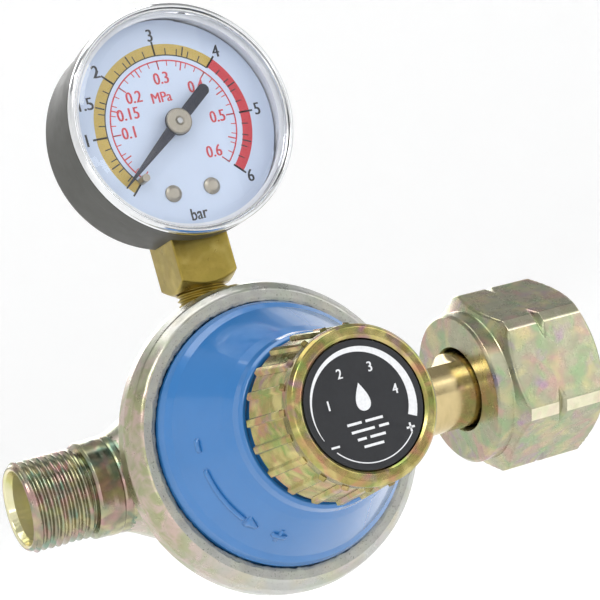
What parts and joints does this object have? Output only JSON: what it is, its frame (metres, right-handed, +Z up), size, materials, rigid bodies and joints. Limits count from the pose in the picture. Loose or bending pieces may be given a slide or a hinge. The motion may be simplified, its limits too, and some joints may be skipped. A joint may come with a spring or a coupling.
{
  "type": "gas regulator",
  "caption": "Adjustable gas pressure regulator with a dial gauge, a ribbed setting knob, a threaded outlet and a swivelling inlet nut.",
  "frame": {"origin": "centre of the inlet nut's open end, on the pipe axis", "axes": "+Z up towards the gauge, -Y out of the knob, +X out of the inlet nut, -X out of the outlet"},
  "size_m": [0.1163, 0.0786, 0.1071],
  "materials": {
    "zinc_body": "cast, passivated",
    "bonnet_paint": "gloss paint",
    "chromated_metal": "yellow chromate",
    "plain_steel": "plain",
    "label_black": "printed",
    "plated_steel": "plated",
    "spring_steel": "drawn wire",
    "nitrile": "matte",
    "brass_turned": "turned",
    "nipple_brass": "turned",
    "copper": "annealed",
    "nut_plating": "yellow chromate",
    "case_grey": "matte paint",
    "bezel_chrome": "bright",
    "window_clear": "clear",
    "dial_white": "matte paint",
    "rivet_metal": "satin",
    "pointer_black": "matte paint",
    "socket_brass": "dull"
  },
  "bodies": {
    "regulator": {"body_casting": "zinc_body", "bonnet": "bonnet_paint", "lever_pin": "plain_steel", "inlet_nozzle": "brass_turned", "inlet_nipple": "nipple_brass", "nipple_gasket": "copper", "inlet_filter": "brass_turned", "inlet_seal": "nitrile", "main_spring": "spring_steel", "diaphragm": "nitrile", "gauge_socket": "socket_brass", "gauge_case": "case_grey", "gauge_bezel": "bezel_chrome", "gauge_window": "window_clear", "window_gasket": "nitrile", "dial_plate": "dial_white", "dial_rivets": "rivet_metal", "stop_pin": "rivet_metal", "front_plate": "brass_turned", "back_plate": "brass_turned", "plate_pillars": "brass_turned", "movement_screws": "plain_steel", "bourdon_tube": "brass_turned", "hairspring": "spring_steel", "blowout_plug": "nitrile"},
    "button": {"spring_button": "plated_steel"},
    "knob_set": {"knob": "chromated_metal", "label_disc": "label_black", "adjusting_spindle": "plated_steel", "knob_pin": "plain_steel"},
    "diaphragm_set": {"diaphragm_plate": "plated_steel", "support_washer": "plated_steel", "diaphragm_stem": "brass_turned", "stem_nut": "plain_steel"},
    "lever_set": {"valve_lever": "brass_turned", "seat_pad": "nitrile"},
    "pointer_set": {"pointer": "pointer_black", "pointer_cap": "rivet_metal", "pointer_shaft": "brass_turned"},
    "sector_set": {"sector_gear": "brass_turned"},
    "link_set": {"tip_link": "brass_turned"},
    "nut_set": {"inlet_nut": "nut_plating"}
  },
  "joints": [
    {"name": "button_slide", "type": "slide", "parent": "regulator", "child": "button", "axis": [0, 1, 0], "range_m": [-0.0025, 0.00125], "deforming": ["main_spring"]},
    {"name": "knob_turn", "type": "hinge", "parent": "button", "child": "knob_set", "pos_m": [-0.076, -0.055, 0], "axis": [0, 1, 0], "range_deg": [-720, 360]},
    {"name": "diaphragm_slide", "type": "slide", "parent": "regulator", "child": "diaphragm_set", "axis": [0, 1, 0], "range_m": [0, 0.0012], "stiffness_N_per_m": 2000, "deforming": ["diaphragm", "main_spring"]},
    {"name": "lever_turn", "type": "hinge", "parent": "regulator", "child": "lever_set", "pos_m": [-0.083, -0.007, 0], "axis": [0, 0, 1], "range_deg": [0, 9.83]},
    {"name": "pointer_turn", "type": "hinge", "parent": "regulator", "child": "pointer_set", "pos_m": [-0.076, -0.022, 0.0584], "axis": [0, 1, 0], "range_deg": [0, 264.6], "deforming": ["hairspring"]},
    {"name": "sector_turn", "type": "hinge", "parent": "regulator", "child": "sector_set", "pos_m": [-0.076, -0.012, 0.049], "axis": [0, -1, 0], "range_deg": [0, 39.2]},
    {"name": "link_slide", "type": "slide", "parent": "regulator", "child": "link_set", "axis": [0.9455, 0, 0.3256], "range_m": [0, 0.00235], "deforming": ["bourdon_tube"]},
    {"name": "nut_swivel", "type": "hinge", "parent": "regulator", "child": "nut_set", "pos_m": [-0.01, 0, 0], "axis": [1, 0, 0], "continuous": true}
  ],
  "couplings": [
    {"joint": "knob_turn", "follows": "button_slide", "rad_per_m": 5026.5},
    {"joint": "lever_turn", "follows": "diaphragm_slide", "rad_per_m": 142.86},
    {"joint": "sector_turn", "follows": "link_slide", "rad_per_m": 291.13},
    {"joint": "pointer_turn", "follows": "link_slide", "rad_per_m": 1965.2}
  ]
}
